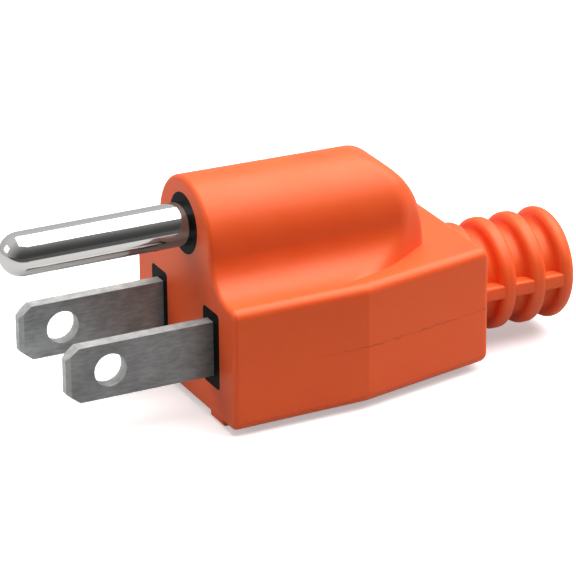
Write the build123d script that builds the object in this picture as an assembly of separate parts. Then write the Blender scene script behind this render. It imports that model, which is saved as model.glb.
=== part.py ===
from build123d import *
import os
from math import sqrt

# Bonding plug with two flat blades, a round earth pin and a moulded strain relief.
# The origin is on the mating face, midway between the blades.
# The contacts point along -Y, the lead leaves along +Y, and the earth pin is on top, +Z.
# All sizes are in millimetres.

# Flat blades
blade_spacing = 12.7
blade_width = 6.2
blade_thickness = 1.5
blade_reach = 16.95
blade_hole_diameter = 3.7
blade_hole_from_face = 11.95
blade_corner_along = 1.45
blade_corner_across = 1.15
blade_bevel_length = 0.5
blade_tip_thickness = 0.9
blade_tail = 3.2
blade_notch_depth = 0.9

# Earth pin
pin_diameter = 4.8
pin_height = 11.9
pin_reach = 21.2
pin_shoulder = 0.4
pin_groove_depth = 0.5
crimp_diameter = 4.2
crimp_bore = 2.4
crimp_length = 5.5
crimp_floor = 1.1

# Blade carrier, the inner moulding whose front shows in the mating face
carrier_recess = 0.0
carrier_front_wall = 1.9
carrier_depth = 7.8
carrier_side_wall = 2.2
carrier_edge_wall = 2.1
carrier_corner = 1.2
neck_half_width = 2.4
lock_from_front = 2.6
lock_length = 2.0
pad_side_margin = 1.2
pad_end_margin = 1.25
pad_outward = 0.18
pad_upward = -0.05
pad_corner = 0.5
ring_wall = 1.0
moulding_gap = 0.02

# Outer body, the block
block_half_width = 12.3
block_draft = 0.1
block_back_half_width = 8.85
block_straight = 16.0
block_length = 32.55
block_top = 6.05
block_bottom = -7.79
block_rise = 0.28
block_top_edge = 1.05
block_bottom_edge = 1.1
block_back_corner = 0.8
front_edge = 0.5

# Outer body, the hood over the earth pin
hood_top = 17.08
hood_fall = 0.4
hood_radius = 6.5
flare_radius = 4.2
nose_setback = 5.25
nose_blunt = 5.45
nose_roll_length = 9.1
nose_roll_height = 11.5
flank_angle = 35.0
flank_radius = 7.0
nose_corner = 2.5

# Outer body, the two skids under the block
skid_inset = 4.9
skid_width = 3.35
skid_height = 0.65
skid_setback = 0.1
skid_length = 16.0
skid_corner = 0.3

# Strain relief, one piece with the outer body
relief_height = -0.88
relief_radius = 6.33
groove_depth = 1.5
collar_length = 1.5
groove_width = 1.75
ring_thickness = 2.0
ring_count = 3
ring_edge = 0.75
groove_edge = 0.65
relief_end_edge = 1.25
web_thickness = 1.7
web_edge = 0.4
web_step = 0.12
lead_bore_diameter = 6.4
lead_bore_depth = 14.0

# How far a tool solid runs past the face that it cuts
overrun = 2.0


# Helpers that place a sketch and extrude it
def along_y(sketch, start, end):
    """Extrudes a front-view sketch, drawn in X and Z, from one Y to another."""
    return extrude(Plane.XZ.offset(-start) * sketch, start - end)


def along_z(sketch, start, end):
    """Extrudes a plan sketch, drawn in X and Y, from one Z to another."""
    return extrude(Plane.XY.offset(start) * sketch, end - start)


def side_slab(sketch, half_width):
    """Extrudes a side-view sketch, drawn in Y and Z, to both sides of the middle."""
    return extrude(Plane.YZ * sketch, half_width, both=True)


def rod_y(radius, start, end, z=0.0):
    """A round bar along Y, at the given height."""
    return along_y(Pos(0, z) * Circle(radius), start, end)


# Places that follow from the sizes above
carrier_back = carrier_front_wall + carrier_depth
lock_start = carrier_front_wall + lock_from_front
lock_end = lock_start + lock_length
carrier_half_width = blade_spacing / 2 + blade_thickness / 2 + carrier_side_wall
carrier_half_height = blade_width / 2 + carrier_edge_wall
pad_width = blade_thickness + 2 * pad_side_margin
pad_height = blade_width + 2 * pad_end_margin
ring_radius = pin_diameter / 2 + ring_wall
nose_end = block_length - nose_setback
flank_apex = nose_end + nose_blunt
skid_centre = block_half_width - skid_inset
relief_core_radius = relief_radius - groove_depth
relief_pitch = groove_width + ring_thickness
relief_end = block_length + collar_length + ring_count * relief_pitch
side_signs = {"line_blade": 1, "neutral_blade": -1}


# Flat blades
def blade_form(sign, grow=0.0):
    """One blade, grown on every side by the moulding gap when it cuts its own seat."""
    half = blade_width / 2
    tail_end = carrier_back + blade_tail
    outline = Polyline(
        (-blade_reach, half - blade_corner_across),
        (-blade_reach + blade_corner_along, half),
        (lock_start, half),
        (lock_start, half - blade_notch_depth),
        (lock_end, half - blade_notch_depth),
        (lock_end, half),
        (tail_end, half),
        (tail_end, -half),
        (lock_end, -half),
        (lock_end, -half + blade_notch_depth),
        (lock_start, -half + blade_notch_depth),
        (lock_start, -half),
        (-blade_reach + blade_corner_along, -half),
        (-blade_reach, -half + blade_corner_across),
        close=True,
    )
    side = make_face(outline)
    if grow:
        side = offset(side, grow, kind=Kind.INTERSECTION)
    blade = side_slab(side, blade_thickness / 2 + grow)
    if not grow:
        blade = blade & blade_plan_wedge(tail_end)
        hole = Cylinder(blade_hole_diameter / 2, blade_thickness + overrun)
        blade -= Pos(0, -blade_hole_from_face, 0) * Rot(0, 90, 0) * hole
    return Pos(sign * blade_spacing / 2, 0, 0) * blade


def blade_plan_wedge(tail_end):
    """The blade's plan view: full thickness, thinned to a bevel at the tip."""
    full = blade_thickness / 2
    thin = blade_tip_thickness / 2
    plan = Polyline(
        (-thin, -blade_reach),
        (thin, -blade_reach),
        (full, -blade_reach + blade_bevel_length),
        (full, tail_end),
        (-full, tail_end),
        (-full, -blade_reach + blade_bevel_length),
        close=True,
    )
    return along_z(make_face(plan), -blade_width, blade_width)


# Earth pin
def pin_form(grow=0.0):
    """The round pin, its shoulder on the ring's face, a grooved shank and a crimp barrel."""
    radius = pin_diameter / 2 + grow
    shank = radius - pin_shoulder
    barrel_end = carrier_back + crimp_length
    tip_centre = pin_diameter / 2 - pin_reach
    pin = rod_y(radius, tip_centre, carrier_recess)
    pin += Pos(0, tip_centre, 0) * Sphere(radius)
    pin += rod_y(shank, carrier_recess, lock_start + grow)
    pin += rod_y(shank - pin_groove_depth, lock_start, lock_end)
    pin += rod_y(shank, lock_end - grow, carrier_back + grow)
    pin += rod_y(crimp_diameter / 2 + grow, carrier_back, barrel_end + grow)
    if not grow:
        pin -= rod_y(crimp_bore / 2, carrier_back + crimp_floor, barrel_end)
    return Pos(0, 0, pin_height) * pin


# Blade carrier
def carrier_outer(grow=0.0):
    """The outside of the carrier, without the contacts' seats."""
    plate = RectangleRounded(
        2 * (carrier_half_width + grow), 2 * (carrier_half_height + grow), carrier_corner + grow
    )
    neck = Pos(0, pin_height / 2) * Rectangle(2 * (neck_half_width + grow), pin_height)
    boss = Pos(0, pin_height) * Circle(ring_radius + grow)
    shape = along_y(plate + neck + boss, carrier_front_wall - grow, carrier_back + grow)
    front = carrier_recess if not grow else -overrun
    shape += along_y(boss, front, carrier_front_wall)
    for sign in side_signs.values():
        pad = RectangleRounded(pad_width + 2 * grow, pad_height + 2 * grow, pad_corner + grow)
        pad_x = sign * (blade_spacing / 2 + pad_outward)
        shape += along_y(Pos(pad_x, pad_upward) * pad, front, carrier_front_wall)
    return shape


def blade_carrier():
    """The carrier with the seats of the blades and the pin moulded in."""
    carrier = carrier_outer()
    for sign in side_signs.values():
        carrier -= blade_form(sign, moulding_gap)
    return carrier - pin_form(moulding_gap)


# Outer body, the block
def block():
    """The tapered block with its long edges rounded."""
    mid_half_width = block_half_width - block_draft
    plan = Polyline(
        (block_half_width, 0),
        (mid_half_width, block_straight),
        (block_back_half_width, block_length),
        (-block_back_half_width, block_length),
        (-mid_half_width, block_straight),
        (-block_half_width, 0),
        close=True,
    )
    side = Polyline(
        (0, block_bottom),
        (0, block_top),
        (block_length, block_top),
        (block_length, block_bottom + block_rise),
        close=True,
    )
    solid = along_z(make_face(plan), block_bottom, block_top)
    solid &= side_slab(make_face(side), block_half_width + overrun)
    back_corners = solid.edges().filter_by(Axis.Z).group_by(Axis.Y)[-1]
    solid = fillet(back_corners, block_back_corner)
    top_edges = solid.edges().group_by(Axis.Z)[-1]
    solid = fillet(top_edges.filter_by(lambda edge: edge.center().Y > front_edge), block_top_edge)
    low_edges = solid.faces().sort_by(Axis.Z)[0].edges()
    return fillet(low_edges.filter_by(lambda edge: edge.center().Y > front_edge), block_bottom_edge)


# Outer body, the hood over the earth pin
def hood_profile(top):
    """The hood seen from the front: a dome that runs out in a hollow flare to the block."""
    dome_z = top - hood_radius
    dome_rise = dome_z - block_top
    # The flare is no wider than the flat that the block's top leaves for it
    flat = block_half_width - block_top_edge - front_edge
    widest = (flat ** 2 - hood_radius ** 2 + dome_rise ** 2) / (2 * (hood_radius + dome_rise))
    flare = min(flare_radius, widest)
    flare_z = block_top + flare
    reach = hood_radius + flare
    flare_x = sqrt(reach ** 2 - (dome_z - flare_z) ** 2)
    share = hood_radius / reach
    touch_x = flare_x * share
    touch_z = dome_z + (flare_z - dome_z) * share
    turn = sqrt(0.5)
    flare_mid = (flare_x - flare * turn, flare_z - flare * turn)
    root = block_top - overrun
    right_flare = ThreePointArc((touch_x, touch_z), flare_mid, (flare_x, block_top))
    left_flare = ThreePointArc(
        (-flare_x, block_top), (-flare_mid[0], flare_mid[1]), (-touch_x, touch_z)
    )
    dome = ThreePointArc((-touch_x, touch_z), (0, top), (touch_x, touch_z))
    base = Polyline((flare_x, block_top), (flare_x, root), (-flare_x, root), (-flare_x, block_top))
    return make_face(Wire([right_flare, *base.edges(), left_flare, dome]))


def rounded_end(length, height):
    """A slab that ends at Y = 0, its top edge rolled over by a quarter of an ellipse."""
    low = -overrun
    far = -2 * flank_apex
    start = hood_top - height
    side = Polyline((0, start), (0, low), (far, low), (far, hood_top), (-length, hood_top))
    roll = EllipticalCenterArc((-length, start), length, height, 0, arc_size=90)
    return side_slab(make_face(Wire([*side.edges(), roll])), 2 * flank_apex)


def is_nose_edge(edge):
    """Picks the nose's own edges and leaves its creases with the flares sharp."""
    middle = edge.center()
    on_nose = middle.Y > nose_end - nose_roll_length
    return on_nose and abs(middle.X) < hood_radius and middle.Z > block_top


def hood():
    """The hood: its ridge falls to a rolled back, and its flanks run together in plan."""
    front = Plane.XZ * hood_profile(hood_top)
    back = Plane.XZ.offset(-flank_apex) * hood_profile(hood_top - hood_fall)
    solid = loft([front, back], ruled=True)
    solid &= Pos(0, nose_end, 0) * rounded_end(nose_roll_length, nose_roll_height)
    for turn in (flank_angle - 90, 90 - flank_angle):
        solid &= Pos(0, flank_apex, 0) * Rot(0, 0, turn) * rounded_end(flank_radius, flank_radius)
    return fillet(solid.edges().filter_by(is_nose_edge), nose_corner)


# Outer body, the skids and the strain relief
def skids():
    """Two low runners under the block, which the plug rests on."""
    low = block_bottom - skid_height
    solid = None
    for sign in (1, -1):
        plan = RectangleRounded(skid_width, skid_length, skid_corner)
        placed = Pos(sign * skid_centre, skid_setback + skid_length / 2) * plan
        runner = along_z(placed, low, block_bottom + block_bottom_edge)
        runner = chamfer(runner.edges().group_by(Axis.Z)[0], skid_corner)
        solid = runner if solid is None else solid + runner
    return solid


def relief_outline():
    """Half of the sleeve's length section: Y along the page, and the radius up it."""
    inside = block_length - overrun
    collar_end = block_length + collar_length
    points = [(inside, 0), (inside, relief_radius), (collar_end, relief_radius)]
    for number in range(ring_count):
        start = collar_end + groove_width + number * relief_pitch
        points += [(start - groove_width, relief_core_radius), (start, relief_core_radius)]
        points += [(start, relief_radius), (start + ring_thickness, relief_radius)]
    section = make_face(Polyline(*points, (relief_end, 0), close=True))
    section = fillet(section.vertices().filter_by(is_groove_corner), groove_edge)
    section = fillet(section.vertices().filter_by(is_ring_corner), ring_edge)
    return fillet(section.vertices().filter_by(is_end_corner), relief_end_edge)


def is_groove_corner(vertex):
    """Picks the corners at the bottom of the grooves."""
    return abs(vertex.Y - relief_core_radius) < moulding_gap


def is_ring_corner(vertex):
    """Picks the corners on the outside of the collar and rings, but not the far end's."""
    on_crest = abs(vertex.Y - relief_radius) < moulding_gap
    return on_crest and block_length < vertex.X < relief_end - moulding_gap


def is_end_corner(vertex):
    """Picks the outside corner at the far end."""
    on_crest = abs(vertex.Y - relief_radius) < moulding_gap
    return on_crest and vertex.X > relief_end - moulding_gap


def strain_relief():
    """A grooved sleeve: rounded rings on a thinner core, tied by a web on each side."""
    inside = block_length - overrun
    sleeve = revolve(Plane.YZ * relief_outline(), Axis.Y)
    web = RectangleRounded(2 * (relief_radius - web_step), web_thickness, web_edge)
    sleeve += along_y(web, inside, relief_end - ring_thickness / 2)
    return Pos(0, 0, relief_height) * sleeve


def outer_body():
    """Block, hood, skids and strain relief as one moulding round the carrier."""
    body = block() + hood()
    # The whole outline of the mating face is rounded in one run
    front_loop = body.faces().sort_by(Axis.Y)[0].outer_wire().edges()
    body = fillet(front_loop, front_edge)
    body += skids()
    body += strain_relief()
    body -= carrier_outer(moulding_gap)
    for sign in side_signs.values():
        body -= blade_form(sign, moulding_gap)
    body -= pin_form(moulding_gap)
    bore_start = relief_end - lead_bore_depth
    body -= rod_y(lead_bore_diameter / 2, bore_start, relief_end + overrun, z=relief_height)
    return body


# Build and write one file for each piece
pieces = {
    "outer_body": outer_body(),
    "blade_carrier": blade_carrier(),
    "earth_pin": pin_form(),
}
for blade_name, blade_sign in side_signs.items():
    pieces[blade_name] = blade_form(blade_sign)

os.makedirs("parts", exist_ok=True)
for name, piece in pieces.items():
    piece.label = name
    export_step(piece, f"parts/{name}.step")
    print(name, "solids", len(piece.solids()), "volume", round(piece.volume, 1))
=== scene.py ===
from math import cos, radians, sin

import bpy
from bpy.props import FloatProperty, FloatVectorProperty, PointerProperty, StringProperty
from bpy.types import Operator, Panel, PropertyGroup
from mathutils import Matrix, Vector


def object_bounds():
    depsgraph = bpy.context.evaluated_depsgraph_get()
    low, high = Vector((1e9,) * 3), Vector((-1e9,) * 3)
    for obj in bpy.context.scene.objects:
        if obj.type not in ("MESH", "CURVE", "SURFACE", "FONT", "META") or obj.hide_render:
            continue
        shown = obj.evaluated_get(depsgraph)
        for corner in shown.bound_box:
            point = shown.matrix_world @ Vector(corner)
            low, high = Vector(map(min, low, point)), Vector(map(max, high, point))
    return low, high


bl_info = {
    "name": "Bonding Plug Finishes",
    "version": (1, 0, 0),
    "blender": (4, 5, 0),
    "location": "3D View > Sidebar > Bonding Plug",
    "description": "Finishes the pieces of a moulded bonding plug and sets the studio round it",
    "category": "Material",
}

MM = 0.001

# Numbers of the sockets whose names repeat on a colour mix, a map range, a math or a shader node
FACTOR, COLOUR_A, COLOUR_B, MIXED = 0, 6, 7, 2
VALUE, FROM_LOW, FROM_HIGH, TO_LOW, TO_HIGH = 0, 1, 2, 3, 4
FIRST, SECOND = 0, 1
UNDER, OVER = 1, 2

# A noise texture seldom leaves this range
NOISE_LOW, NOISE_HIGH = 0.3, 0.7

# The lamps' widths and lengths, and where they stand from the plug's middle, in metres
OVERHEAD_SIZE, OVERHEAD_PLACE = (0.42, 0.50), Vector((0.02, 0.12, 0.32))
FRONT_SIZE, FRONT_PLACE = (0.16, 0.12), Vector((-0.10, -0.32, 0.14))

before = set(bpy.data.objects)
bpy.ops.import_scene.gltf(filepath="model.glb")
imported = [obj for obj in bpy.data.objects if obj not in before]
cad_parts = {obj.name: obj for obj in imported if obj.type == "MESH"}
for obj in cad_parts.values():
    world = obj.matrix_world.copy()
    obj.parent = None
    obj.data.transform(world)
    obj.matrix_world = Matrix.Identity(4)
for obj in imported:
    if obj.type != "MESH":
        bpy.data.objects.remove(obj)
cad_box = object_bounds()


def linear(hex_colour):
    """Turns an sRGB hex colour into the linear values that a socket takes."""
    values = [int(hex_colour[i:i + 2], 16) / 255 for i in (1, 3, 5)]
    bent = [v / 12.92 if v <= 0.04045 else ((v + 0.055) / 1.055) ** 2.4 for v in values]
    return (*bent, 1.0)


def add_node(tree, kind, sockets=None, **settings):
    """Adds a node, sets its properties, and sets or links its inputs by name or number."""
    made = tree.nodes.new(kind)
    for name, value in settings.items():
        setattr(made, name, value)
    for key, value in (sockets or {}).items():
        if isinstance(value, bpy.types.NodeSocket):
            tree.links.new(value, made.inputs[key])
        else:
            made.inputs[key].default_value = value
    return made


def new_material(name):
    """An empty node material with its output node."""
    material = bpy.data.materials.new(name)
    material.use_nodes = True
    material.node_tree.nodes.clear()
    output = material.node_tree.nodes.new("ShaderNodeOutputMaterial")
    return material, material.node_tree, output


def dress(node_names, material):
    """Gives the named pieces of the frame this one material."""
    for name in node_names:
        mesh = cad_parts[name].data
        mesh.materials.clear()
        mesh.materials.append(material)


def colour_property(name, description, hex_colour):
    """A colour setting that starts from an sRGB hex value."""
    return StringProperty(name=name, description=description, default=hex_colour)


def length_property(name, description, millimetres):
    """A length setting, given in millimetres and held in metres."""
    return FloatProperty(
        name=name, description=description, default=millimetres * MM, unit="LENGTH", precision=5
    )


def share_property(name, description, share):
    """A setting between nothing and all."""
    return FloatProperty(name=name, description=description, default=share, subtype="FACTOR")


def angle_property(name, description, degrees):
    """An angle setting, given in degrees and held in radians."""
    return FloatProperty(
        name=name, description=description, default=radians(degrees), subtype="ANGLE"
    )


def power_property(name, description, watts):
    """A lamp's power."""
    return FloatProperty(name=name, description=description, default=watts, unit="POWER")


class MouldedBodyLook(PropertyGroup):
    """The orange moulding's finish."""

    colour: colour_property("Colour", "Colour of the soft PVC", "#EB4C10")
    colour_pale: colour_property("Pale colour", "Colour where the mix is paler", "#EE5A1C")
    mottle: length_property("Mottle", "Size of the slow colour variation", 6.0)
    grain: length_property("Grain", "Size of the mould's fine texture", 0.35)
    roughness: share_property("Roughness", "Roughness of the skin", 0.5)
    depth: length_property("Light depth", "How far light travels in the PVC", 0.9)
    # Painted reflection: the neutral tone that glossy rays see in place of the orange, and its share
    painted_reflection_tone: colour_property("Tone in metal", "Tone that bright metal shows of it", "#6A625E")
    painted_reflection_share: share_property("Share in metal", "Share of that tone in the metal", 0.85)
    line_colour: colour_property("Parting line colour", "Colour of the parting line", "#A2380F")
    line_strength: share_property("Parting line strength", "How much of that colour shows", 0.65)
    line_height: length_property("Parting line height", "Height of the mould's parting line", -1.0)
    line_width: length_property("Parting line width", "Width of the parting line", 0.18)
    line_step: length_property("Parting line step", "Length of its wandering steps", 0.9)
    line_wander: length_property("Parting line wander", "How far it strays up or down", 0.12)
    line_break: length_property("Parting line break", "Length of its fainter stretches", 1.6)
    line_start: length_property("Parting line start", "Where the line begins to show", 8.0)
    line_full: length_property("Parting line full", "Where the line shows fully", 17.0)
    line_end: length_property("Parting line end", "Where the line stops at the block's back", 32.6)


class CarrierLook(PropertyGroup):
    """The black inner moulding's finish."""

    colour: colour_property("Colour", "Colour of the black nylon", "#0B0B0C")
    fleck: colour_property("Fleck", "Colour of the pale flecks in its grain", "#1C1D1F")
    grain: length_property("Grain", "Size of the spark-eroded grain", 0.22)
    roughness: share_property("Roughness", "Roughness of the skin", 0.5)


class BladeLook(PropertyGroup):
    """The flat blades' finish."""

    line_colour: colour_property("Line colour", "Colour of the line blade's plate", "#949494")
    line_dull: colour_property("Line dull colour", "Colour of its duller patches", "#727272")
    # Painted light: the neutral blade's plate is the same nickel as the line blade's, painted lighter and
    # cooler to lift it out of its shade and offset orange bounce light
    neutral_painted_light_colour: colour_property("Neutral colour", "Colour of the neutral blade's plate", "#C6CCCD")
    neutral_painted_light_dull: colour_property("Neutral dull colour", "Colour of its duller patches", "#949A9B")
    # Painted highlight on the sheared edges, with duller torn spots of random tone in it
    edge_highlight_colour: colour_property("Edge colour", "Colour of the bright sheared edges", "#C6C6C4")
    edge_highlight_torn: colour_property("Edge dull colour", "Colour of the torn spots on them", "#AAAAA8")
    cloud: length_property("Cloud", "Size of the plate's cloudy patches", 3.0)
    grain: length_property("Grain", "Width of the strip's rolled grain", 0.24)
    torn: length_property("Torn spots", "Size of the torn spots on the edges", 1.1)
    roughness: share_property("Roughness", "Roughness of the satin plate", 0.42)


class PinLook(PropertyGroup):
    """The earth pin's finish."""

    colour: colour_property("Colour", "Colour of the bright plate", "#DAD9D7")
    streak: length_property("Streak", "Width of the fine polishing streaks", 0.15)
    roughness: share_property("Roughness", "Roughness of the polish", 0.07)


class StageLook(PropertyGroup):
    """The floor, lamps, world and camera."""

    floor: colour_property("Floor", "Colour of the paper floor", "#F2F2F1")
    floor_pale: colour_property("Floor pale colour", "Colour of its paler fibres", "#F6F6F5")
    fibre: length_property("Fibre", "Size of the paper's fibres", 0.8)
    floor_half: length_property("Floor half", "From the floor's middle to its edges", 1200.0)
    lift: FloatProperty(name="Lift", description="Brightness added to the paper in view", default=0.4)
    # Painted dark floor, seen only by reflections and bounce light: its colour, its share near the plug,
    # and where and how fast it takes over on the camera's side
    painted_dark_floor: colour_property("Bench", "Colour of the bench past the paper", "#3A3A3A")
    painted_dark_share: share_property("Bench share", "Share of the bench near the plug", 0.58)
    painted_dark_start: length_property("Paper edge", "How far the paper reaches on the camera's side", 42.0)
    painted_dark_fade: length_property("Paper fade", "Width over which the paper gives way", 12.0)
    overhead: power_property("Overhead", "Overhead lamp's power", 2.9)
    front: power_property("Front", "Front lamp's power", 0.31)
    world_far: FloatProperty(name="Far side", description="Brightness of the far side", default=0.6)
    world_near: FloatProperty(name="Near side", description="Brightness behind the camera", default=0.07)
    world_rise: FloatProperty(name="Rise", description="Brightness added overhead", default=0.12)
    world_share: share_property("Share", "Share of it that lights the plug", 0.75)
    azimuth: angle_property("Azimuth", "Camera's turn round the plug", 63.716)
    elevation: angle_property("Elevation", "Camera's height above the level", 22.869)
    roll: angle_property("Roll", "Camera's lean", -0.42)
    distance: length_property("Distance", "From the aiming point to the camera", 404.52)
    aim: FloatVectorProperty(
        name="Aim",
        description="Point that the camera looks at",
        default=(0.0, 12.385 * MM, 1.976 * MM),
        subtype="TRANSLATION",
    )
    lens: FloatProperty(name="Lens", description="Focal length", default=231.84, unit="CAMERA")
    sensor: FloatProperty(name="Sensor", description="Sensor's width", default=36.0, unit="CAMERA")


def parting_line(tree, place, look):
    """How strongly the mould's parting line shows at each point of the moulding."""
    axes = add_node(tree, "ShaderNodeSeparateXYZ", {0: place})
    height = add_node(
        tree,
        "ShaderNodeMath",
        {FIRST: axes.outputs["Z"], SECOND: look.line_height},
        operation="SUBTRACT",
    )
    # Where the mould halves wore, the line wanders up and down
    worn = add_node(
        tree, "ShaderNodeTexNoise", {"Vector": place, "Scale": 1 / look.line_step, "Detail": 2.0}
    )
    wander = add_node(
        tree,
        "ShaderNodeMapRange",
        {
            VALUE: worn.outputs["Fac"],
            FROM_LOW: NOISE_LOW,
            FROM_HIGH: NOISE_HIGH,
            TO_LOW: -look.line_wander,
            TO_HIGH: look.line_wander,
        },
    )
    strayed = add_node(
        tree,
        "ShaderNodeMath",
        {FIRST: height.outputs[0], SECOND: wander.outputs[0]},
        operation="ADD",
    )
    away = add_node(tree, "ShaderNodeMath", {FIRST: strayed.outputs[0]}, operation="ABSOLUTE")
    band = add_node(
        tree,
        "ShaderNodeMapRange",
        {
            VALUE: away.outputs[0],
            FROM_LOW: look.line_width / 4,
            FROM_HIGH: look.line_width / 2,
            TO_LOW: 1.0,
            TO_HIGH: 0.0,
        },
    )
    # Where the mould closed tightly, the line is fainter
    breaks = add_node(
        tree, "ShaderNodeTexNoise", {"Vector": place, "Scale": 1 / look.line_break, "Detail": 2.0}
    )
    kept = add_node(
        tree,
        "ShaderNodeMapRange",
        {VALUE: breaks.outputs["Fac"], FROM_LOW: 0.38, FROM_HIGH: 0.56, TO_LOW: 0.3, TO_HIGH: 1.0},
    )
    # It fades in along the block, and stops at the block's back, where the strain relief begins
    reach = add_node(
        tree,
        "ShaderNodeMapRange",
        {
            VALUE: axes.outputs["Y"],
            FROM_LOW: look.line_start,
            FROM_HIGH: look.line_full,
            TO_LOW: 0.0,
            TO_HIGH: 1.0,
        },
    )
    stop = add_node(
        tree,
        "ShaderNodeMath",
        {FIRST: axes.outputs["Y"], SECOND: look.line_end},
        operation="LESS_THAN",
    )
    extent = add_node(
        tree,
        "ShaderNodeMath",
        {FIRST: reach.outputs[0], SECOND: stop.outputs[0]},
        operation="MULTIPLY",
    )
    along = add_node(
        tree,
        "ShaderNodeMath",
        {FIRST: kept.outputs[0], SECOND: extent.outputs[0]},
        operation="MULTIPLY",
    )
    line = add_node(
        tree,
        "ShaderNodeMath",
        {FIRST: band.outputs[0], SECOND: along.outputs[0]},
        operation="MULTIPLY",
    )
    return line.outputs[0]


# Soft PVC, injection moulded: a satin skin, a little light under it, and a fine mould texture
def moulded_pvc(look):
    """Orange soft PVC with a mottle, a fine grain, a broken parting line and a painted neutral reflection
    tone.
    """
    material, tree, output = new_material("soft_pvc_moulded_orange")
    place = add_node(tree, "ShaderNodeTexCoord").outputs["Object"]
    mottle = add_node(
        tree, "ShaderNodeTexNoise", {"Vector": place, "Scale": 1 / look.mottle, "Detail": 3.0}
    )
    grain = add_node(
        tree, "ShaderNodeTexNoise", {"Vector": place, "Scale": 1 / look.grain, "Detail": 4.0}
    )
    skin = add_node(
        tree,
        "ShaderNodeMix",
        {
            FACTOR: mottle.outputs["Fac"],
            COLOUR_A: linear(look.colour),
            COLOUR_B: linear(look.colour_pale),
        },
        data_type="RGBA",
    )
    line = parting_line(tree, place, look)
    faint = add_node(
        tree, "ShaderNodeMath", {FIRST: line, SECOND: look.line_strength}, operation="MULTIPLY"
    )
    coloured = add_node(
        tree,
        "ShaderNodeMix",
        {
            FACTOR: faint.outputs[0],
            COLOUR_A: skin.outputs[MIXED],
            COLOUR_B: linear(look.line_colour),
        },
        data_type="RGBA",
    )
    # Painted reflection: glossy rays see the moulding mostly as a neutral grey tone instead of its orange,
    # so the bright metal beside it shows no orange
    path = add_node(tree, "ShaderNodeLightPath")
    mirrored = add_node(
        tree,
        "ShaderNodeMath",
        {FIRST: path.outputs["Is Glossy Ray"], SECOND: look.painted_reflection_share},
        operation="MULTIPLY",
    )
    shown = add_node(
        tree,
        "ShaderNodeMix",
        {
            FACTOR: mirrored.outputs[0],
            COLOUR_A: coloured.outputs[MIXED],
            COLOUR_B: linear(look.painted_reflection_tone),
        },
        data_type="RGBA",
    )
    roughness = add_node(
        tree,
        "ShaderNodeMapRange",
        {
            VALUE: mottle.outputs["Fac"],
            FROM_LOW: NOISE_LOW,
            FROM_HIGH: NOISE_HIGH,
            TO_LOW: look.roughness - 0.04,
            TO_HIGH: look.roughness + 0.05,
        },
    )
    texture = add_node(
        tree, "ShaderNodeBump", {"Height": grain.outputs["Fac"], "Strength": 0.3, "Distance": 0.02 * MM}
    )
    groove = add_node(
        tree,
        "ShaderNodeBump",
        {"Height": line, "Strength": 0.25, "Distance": 0.04 * MM, "Normal": texture.outputs[0]},
        invert=True,
    )
    shader = add_node(
        tree,
        "ShaderNodeBsdfPrincipled",
        {
            "Base Color": shown.outputs[MIXED],
            "Roughness": roughness.outputs[0],
            "IOR": 1.53,
            "Specular IOR Level": 0.6,
            "Specular Tint": linear("#FFF2D0"),
            "Subsurface Weight": 0.25,
            "Subsurface Radius": (1.0, 0.25, 0.08),
            "Subsurface Scale": look.depth,
            "Sheen Weight": 0.04,
            "Sheen Roughness": 0.5,
            "Sheen Tint": linear("#FFE6C4"),
            "Normal": groove.outputs[0],
        },
    )
    tree.links.new(shader.outputs[0], output.inputs["Surface"])
    return material


# Nylon, moulded in a spark-eroded tool: black, dull and finely pitted
def eroded_nylon(look):
    """Black nylon with a pitted grain and pale flecks."""
    material, tree, output = new_material("nylon_moulded_black")
    place = add_node(tree, "ShaderNodeTexCoord").outputs["Object"]
    grain = add_node(
        tree, "ShaderNodeTexNoise", {"Vector": place, "Scale": 1 / look.grain, "Detail": 5.0}
    )
    # Only the high spots of the grain are pale
    fleck = add_node(
        tree,
        "ShaderNodeMapRange",
        {VALUE: grain.outputs["Fac"], FROM_LOW: 0.52, FROM_HIGH: 0.70, TO_LOW: 0.0, TO_HIGH: 1.0},
    )
    colour = add_node(
        tree,
        "ShaderNodeMix",
        {
            FACTOR: fleck.outputs[0],
            COLOUR_A: linear(look.colour),
            COLOUR_B: linear(look.fleck),
        },
        data_type="RGBA",
    )
    pits = add_node(
        tree, "ShaderNodeBump", {"Height": grain.outputs["Fac"], "Strength": 0.5, "Distance": 0.04 * MM}
    )
    shader = add_node(
        tree,
        "ShaderNodeBsdfPrincipled",
        {
            "Base Color": colour.outputs[MIXED],
            "Roughness": look.roughness,
            "IOR": 1.53,
            "Specular IOR Level": 0.05,
            "Normal": pits.outputs[0],
        },
    )
    tree.links.new(shader.outputs[0], output.inputs["Surface"])
    return material
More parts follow.
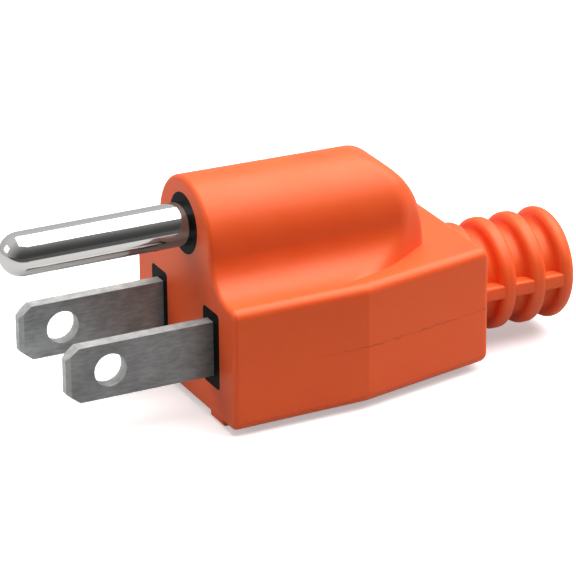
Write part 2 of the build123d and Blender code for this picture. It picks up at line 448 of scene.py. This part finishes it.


# Nickel plate on rolled strip, stamped: satin grey with a drawn-out grain, and sheared edges painted paler
# as a highlight
def plated_strip(look, name, bright, dull):
    """Satin plated strip with a cloudy, rolled grain, painted highlights on its edges, and the plate tone
    given for one blade.
    """
    material, tree, output = new_material(name)
    coordinates = add_node(tree, "ShaderNodeTexCoord")
    place = coordinates.outputs["Object"]
    cloud = add_node(
        tree, "ShaderNodeTexNoise", {"Vector": place, "Scale": 1 / look.cloud, "Detail": 2.0}
    )
    # Rolling draws the grain out along the blade
    squeeze = (1.0, 0.22, 1.0)
    rolled = add_node(tree, "ShaderNodeMapping", {"Vector": place, "Scale": squeeze})
    grain = add_node(
        tree,
        "ShaderNodeTexNoise",
        {"Vector": rolled.outputs[0], "Scale": 1 / look.grain, "Detail": 4.0},
    )
    both = add_node(
        tree,
        "ShaderNodeMath",
        {FIRST: cloud.outputs["Fac"], SECOND: grain.outputs["Fac"]},
        operation="ADD",
    )
    share = add_node(
        tree,
        "ShaderNodeMapRange",
        {VALUE: both.outputs[0], FROM_LOW: 0.65, FROM_HIGH: 1.35, TO_LOW: 0.0, TO_HIGH: 1.0},
    )
    colour = add_node(
        tree,
        "ShaderNodeMix",
        {FACTOR: share.outputs[0], COLOUR_A: linear(dull), COLOUR_B: linear(bright)},
        data_type="RGBA",
    )
    roughness = add_node(
        tree,
        "ShaderNodeMapRange",
        {
            VALUE: share.outputs[0],
            FROM_LOW: 0.0,
            FROM_HIGH: 1.0,
            TO_LOW: look.roughness + 0.06,
            TO_HIGH: look.roughness - 0.04,
        },
    )
    # The blade's broad faces look along X, so every other face is a sheared edge or a hole's wall, painted
    # paler as a highlight
    facing = add_node(tree, "ShaderNodeSeparateXYZ", {0: coordinates.outputs["Normal"]})
    broad = add_node(tree, "ShaderNodeMath", {FIRST: facing.outputs["X"]}, operation="ABSOLUTE")
    edge = add_node(
        tree,
        "ShaderNodeMapRange",
        {VALUE: broad.outputs[0], FROM_LOW: 0.75, FROM_HIGH: 0.95, TO_LOW: 1.0, TO_HIGH: 0.0},
    )
    torn = add_node(
        tree, "ShaderNodeTexNoise", {"Vector": place, "Scale": 1 / look.torn, "Detail": 2.0}
    )
    # The shear leaves duller torn spots
    spots = add_node(
        tree,
        "ShaderNodeMapRange",
        {VALUE: torn.outputs["Fac"], FROM_LOW: 0.35, FROM_HIGH: 0.65, TO_LOW: 0.0, TO_HIGH: 1.0},
    )
    sheared_highlight = add_node(
        tree,
        "ShaderNodeMix",
        {
            FACTOR: spots.outputs[0],
            COLOUR_A: linear(look.edge_highlight_torn),
            COLOUR_B: linear(look.edge_highlight_colour),
        },
        data_type="RGBA",
    )
    plated = add_node(
        tree,
        "ShaderNodeMix",
        {
            FACTOR: edge.outputs[0],
            COLOUR_A: colour.outputs[MIXED],
            COLOUR_B: sheared_highlight.outputs[MIXED],
        },
        data_type="RGBA",
    )
    metal = add_node(
        tree,
        "ShaderNodeMapRange",
        {VALUE: edge.outputs[0], FROM_LOW: 0.0, FROM_HIGH: 1.0, TO_LOW: 0.5, TO_HIGH: 0.4},
    )
    pits = add_node(
        tree, "ShaderNodeBump", {"Height": grain.outputs["Fac"], "Strength": 0.12, "Distance": 0.02 * MM}
    )
    shader = add_node(
        tree,
        "ShaderNodeBsdfPrincipled",
        {
            "Base Color": plated.outputs[MIXED],
            "Metallic": metal.outputs[0],
            "Roughness": roughness.outputs[0],
            "Normal": pits.outputs[0],
        },
    )
    tree.links.new(shader.outputs[0], output.inputs["Surface"])
    return material


# Nickel plate on a turned pin, polished lengthwise: mirror bright with faint streaks
def polished_pin(look):
    """Mirror-bright plate with fine streaks along the pin."""
    material, tree, output = new_material("nickel_plated_pin_polished")
    place = add_node(tree, "ShaderNodeTexCoord").outputs["Object"]
    # Polishing draws the streaks out along the pin
    squeeze = (1.0, 0.03, 1.0)
    drawn = add_node(tree, "ShaderNodeMapping", {"Vector": place, "Scale": squeeze})
    streaks = add_node(
        tree,
        "ShaderNodeTexNoise",
        {"Vector": drawn.outputs[0], "Scale": 1 / look.streak, "Detail": 3.0},
    )
    roughness = add_node(
        tree,
        "ShaderNodeMapRange",
        {
            VALUE: streaks.outputs["Fac"],
            FROM_LOW: 0.35,
            FROM_HIGH: 0.65,
            TO_LOW: look.roughness - 0.02,
            TO_HIGH: look.roughness + 0.04,
        },
    )
    lines = add_node(
        tree, "ShaderNodeBump", {"Height": streaks.outputs["Fac"], "Strength": 0.06, "Distance": 0.02 * MM}
    )
    shader = add_node(
        tree,
        "ShaderNodeBsdfPrincipled",
        {
            "Base Color": linear(look.colour),
            "Metallic": 1.0,
            "Roughness": roughness.outputs[0],
            "Normal": lines.outputs[0],
        },
    )
    tree.links.new(shader.outputs[0], output.inputs["Surface"])
    return material


# Matt paper: pale, with the plug's soft shadow, and white where it is seen in full light
def paper(look):
    """Pale floor paper that lifts to white for the camera and for reflections, mixed for all but the
    camera with a painted dark floor.
    """
    material, tree, output = new_material("paper_matt_floor")
    place = add_node(tree, "ShaderNodeTexCoord").outputs["Object"]
    fibre = add_node(
        tree, "ShaderNodeTexNoise", {"Vector": place, "Scale": 1 / look.fibre, "Detail": 3.0}
    )
    tone = add_node(
        tree,
        "ShaderNodeMix",
        {
            FACTOR: fibre.outputs["Fac"],
            COLOUR_A: linear(look.floor),
            COLOUR_B: linear(look.floor_pale),
        },
        data_type="RGBA",
    )
    shader = add_node(
        tree, "ShaderNodeBsdfPrincipled", {"Base Color": tone.outputs[MIXED], "Roughness": 0.95}
    )
    path = add_node(tree, "ShaderNodeLightPath")
    mirrored = add_node(
        tree,
        "ShaderNodeMath",
        {FIRST: path.outputs["Is Glossy Ray"], SECOND: path.outputs["Is Transmission Ray"]},
        operation="MAXIMUM",
    )
    seen = add_node(
        tree,
        "ShaderNodeMath",
        {FIRST: path.outputs["Is Camera Ray"], SECOND: mirrored.outputs[0]},
        operation="MAXIMUM",
    )
    lift = add_node(
        tree, "ShaderNodeMath", {FIRST: seen.outputs[0], SECOND: look.lift}, operation="MULTIPLY"
    )
    glow = add_node(tree, "ShaderNodeEmission", {"Strength": lift.outputs[0]})
    sheet = add_node(tree, "ShaderNodeAddShader", {FIRST: shader.outputs[0], SECOND: glow.outputs[0]})
    # Painted dark floor: reflections and bounce light, never the camera, see a dark grey in part near the
    # plug, and wholly past a set distance on the camera's side
    painted_dark_floor = add_node(
        tree, "ShaderNodeBsdfPrincipled", {"Base Color": linear(look.painted_dark_floor), "Roughness": 0.8}
    )
    across = add_node(tree, "ShaderNodeSeparateXYZ", {0: place})
    beyond = add_node(
        tree,
        "ShaderNodeMapRange",
        {
            VALUE: across.outputs["X"],
            FROM_LOW: look.painted_dark_start,
            FROM_HIGH: look.painted_dark_start + look.painted_dark_fade,
            TO_LOW: look.painted_dark_share,
            TO_HIGH: 1.0,
        },
    )
    unseen = add_node(
        tree,
        "ShaderNodeMath",
        {FIRST: 1.0, SECOND: path.outputs["Is Camera Ray"]},
        operation="SUBTRACT",
    )
    share = add_node(
        tree,
        "ShaderNodeMath",
        {FIRST: beyond.outputs[0], SECOND: unseen.outputs[0]},
        operation="MULTIPLY",
    )
    total = add_node(
        tree,
        "ShaderNodeMixShader",
        {FACTOR: share.outputs[0], UNDER: sheet.outputs[0], OVER: painted_dark_floor.outputs[0]},
    )
    tree.links.new(total.outputs[0], output.inputs["Surface"])
    return material


class PLUG_OT_moulded_body(Operator):
    """Finish the orange moulding"""

    bl_idname = "plug.moulded_body"
    bl_label = "Moulded Body"

    def execute(self, context):
        dress(["outer_body"], moulded_pvc(context.scene.plug_body))
        return {"FINISHED"}


class PLUG_OT_carrier(Operator):
    """Finish the black carrier that shows round the contacts"""

    bl_idname = "plug.carrier"
    bl_label = "Blade Carrier"

    def execute(self, context):
        dress(["blade_carrier"], eroded_nylon(context.scene.plug_carrier))
        return {"FINISHED"}


class PLUG_OT_blades(Operator):
    """Finish the two flat blades"""

    bl_idname = "plug.blades"
    bl_label = "Flat Blades"

    def execute(self, context):
        look = context.scene.plug_blades
        line = plated_strip(look, "nickel_plated_strip_line", look.line_colour, look.line_dull)
        # The neutral blade's plate colours are painted lighter and cooler than the line blade's, for its
        # shade and the orange bounce light
        neutral = plated_strip(
            look, "nickel_plated_strip_neutral", look.neutral_painted_light_colour, look.neutral_painted_light_dull
        )
        dress(["line_blade"], line)
        dress(["neutral_blade"], neutral)
        return {"FINISHED"}


class PLUG_OT_pin(Operator):
    """Finish the round earth pin"""

    bl_idname = "plug.pin"
    bl_label = "Earth Pin"

    def execute(self, context):
        dress(["earth_pin"], polished_pin(context.scene.plug_pin))
        return {"FINISHED"}


def make_floor(look):
    """The paper floor that the plug rests on."""
    half = look.floor_half
    height = cad_box[0].z
    mesh = bpy.data.meshes.new("floor")
    corners = [(-half, -half, height), (half, -half, height), (half, half, height), (-half, half, height)]
    mesh.from_pydata(corners, [], [(0, 1, 2, 3)])
    mesh.materials.append(paper(look))
    floor = bpy.data.objects.new("floor", mesh)
    bpy.context.scene.collection.objects.link(floor)


def make_lamp(name, power, size, place, aim):
    """A rectangular soft lamp at a place, turned to an aiming point."""
    data = bpy.data.lights.new(name, "AREA")
    data.shape = "RECTANGLE"
    data.size, data.size_y = size
    data.energy = power
    lamp = bpy.data.objects.new(name, data)
    lamp.location = place
    lamp.rotation_euler = (place - aim).to_track_quat("Z", "Y").to_euler()
    bpy.context.scene.collection.objects.link(lamp)


def make_world(look):
    """White to the camera, and for the plug a bright far side and a dark side behind the camera."""
    world = bpy.data.worlds.new("studio")
    bpy.context.scene.world = world
    world.use_nodes = True
    tree = world.node_tree
    tree.nodes.clear()
    path = add_node(tree, "ShaderNodeLightPath")
    place = add_node(tree, "ShaderNodeTexCoord").outputs["Generated"]
    axes = add_node(tree, "ShaderNodeSeparateXYZ", {0: place})
    # The far side lies towards -X, and the room behind the camera towards +X
    room = add_node(
        tree,
        "ShaderNodeMapRange",
        {
            VALUE: axes.outputs["X"],
            FROM_LOW: -0.2,
            FROM_HIGH: 0.85,
            TO_LOW: look.world_far,
            TO_HIGH: look.world_near,
        },
    )
    # The room grows a little brighter from 0.2 to 0.8 of the way up to overhead
    rise = add_node(
        tree,
        "ShaderNodeMapRange",
        {
            VALUE: axes.outputs["Z"],
            FROM_LOW: 0.2,
            FROM_HIGH: 0.8,
            TO_LOW: 0.0,
            TO_HIGH: look.world_rise,
        },
    )
    whole = add_node(
        tree, "ShaderNodeMath", {FIRST: room.outputs[0], SECOND: rise.outputs[0]}, operation="ADD"
    )
    dimmed = add_node(
        tree,
        "ShaderNodeMath",
        {FIRST: whole.outputs[0], SECOND: look.world_share},
        operation="MULTIPLY",
    )
    light = add_node(tree, "ShaderNodeBackground", {"Strength": dimmed.outputs[0]})
    # The camera sees white, and the metal sees the far side bright and the near side dark
    shown = add_node(
        tree,
        "ShaderNodeMath",
        {FIRST: path.outputs["Is Camera Ray"], SECOND: whole.outputs[0]},
        operation="MAXIMUM",
    )
    view = add_node(tree, "ShaderNodeBackground", {"Color": (1, 1, 1, 1), "Strength": shown.outputs[0]})
    mirrored = add_node(
        tree,
        "ShaderNodeMath",
        {FIRST: path.outputs["Is Glossy Ray"], SECOND: path.outputs["Is Transmission Ray"]},
        operation="MAXIMUM",
    )
    seen = add_node(
        tree,
        "ShaderNodeMath",
        {FIRST: path.outputs["Is Camera Ray"], SECOND: mirrored.outputs[0]},
        operation="MAXIMUM",
    )
    pick = add_node(
        tree,
        "ShaderNodeMixShader",
        {FACTOR: seen.outputs[0], UNDER: light.outputs[0], OVER: view.outputs[0]},
    )
    output = add_node(tree, "ShaderNodeOutputWorld")
    tree.links.new(pick.outputs[0], output.inputs["Surface"])


def make_camera(look):
    """The camera at the photograph's viewing angle."""
    across = Vector((cos(look.azimuth), sin(look.azimuth), 0))
    back = Vector(
        (
            sin(look.azimuth) * cos(look.elevation),
            -cos(look.azimuth) * cos(look.elevation),
            sin(look.elevation),
        )
    )
    up = back.cross(across)
    leant_across = cos(look.roll) * across + sin(look.roll) * up
    leant_up = -sin(look.roll) * across + cos(look.roll) * up
    data = bpy.data.cameras.new("camera")
    data.lens = look.lens
    data.sensor_width = look.sensor
    data.clip_start = 10 * MM
    camera = bpy.data.objects.new("camera", data)
    turn = Matrix((leant_across, leant_up, back)).transposed().to_4x4()
    camera.matrix_world = Matrix.Translation(Vector(look.aim) + back * look.distance) @ turn
    bpy.context.scene.collection.objects.link(camera)
    bpy.context.scene.camera = camera


class PLUG_OT_stage(Operator):
    """Make the floor, the lamps, the world and the camera"""

    bl_idname = "plug.stage"
    bl_label = "Studio"

    def execute(self, context):
        look = context.scene.plug_stage
        middle = (cad_box[0] + cad_box[1]) / 2
        make_floor(look)
        make_lamp("overhead", look.overhead, OVERHEAD_SIZE, middle + OVERHEAD_PLACE, middle)
        make_lamp("front", look.front, FRONT_SIZE, middle + FRONT_PLACE, middle)
        make_world(look)
        make_camera(look)
        context.scene.view_settings.view_transform = "Standard"
        return {"FINISHED"}


class PLUG_PT_panel(Panel):
    """Lists the plug's pieces and their settings."""

    bl_label = "Bonding Plug"
    bl_idname = "PLUG_PT_panel"
    bl_space_type = "VIEW_3D"
    bl_region_type = "UI"
    bl_category = "Bonding Plug"

    def draw(self, context):
        for operator, group in STEPS:
            box = self.layout.box()
            box.operator(operator.bl_idname)
            settings = getattr(context.scene, group)
            for name in settings.__annotations__:
                box.prop(settings, name)


# Each step's operator and the group of settings that it reads
STEPS = (
    (PLUG_OT_moulded_body, "plug_body"),
    (PLUG_OT_carrier, "plug_carrier"),
    (PLUG_OT_blades, "plug_blades"),
    (PLUG_OT_pin, "plug_pin"),
    (PLUG_OT_stage, "plug_stage"),
)
GROUPS = {
    "plug_body": MouldedBodyLook,
    "plug_carrier": CarrierLook,
    "plug_blades": BladeLook,
    "plug_pin": PinLook,
    "plug_stage": StageLook,
}


def register():
    """Registers the settings, operators and panel."""
    for name, group in GROUPS.items():
        bpy.utils.register_class(group)
        setattr(bpy.types.Scene, name, PointerProperty(type=group))
    for operator, _ in STEPS:
        bpy.utils.register_class(operator)
    bpy.utils.register_class(PLUG_PT_panel)


def unregister():
    """Removes what register added."""
    bpy.utils.unregister_class(PLUG_PT_panel)
    for operator, _ in reversed(STEPS):
        bpy.utils.unregister_class(operator)
    for name, group in GROUPS.items():
        delattr(bpy.types.Scene, name)
        bpy.utils.unregister_class(group)


def main():
    """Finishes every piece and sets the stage."""
    register()
    bpy.ops.plug.moulded_body()
    bpy.ops.plug.carrier()
    bpy.ops.plug.blades()
    bpy.ops.plug.pin()
    bpy.ops.plug.stage()


if __name__ == "__main__":
    main()
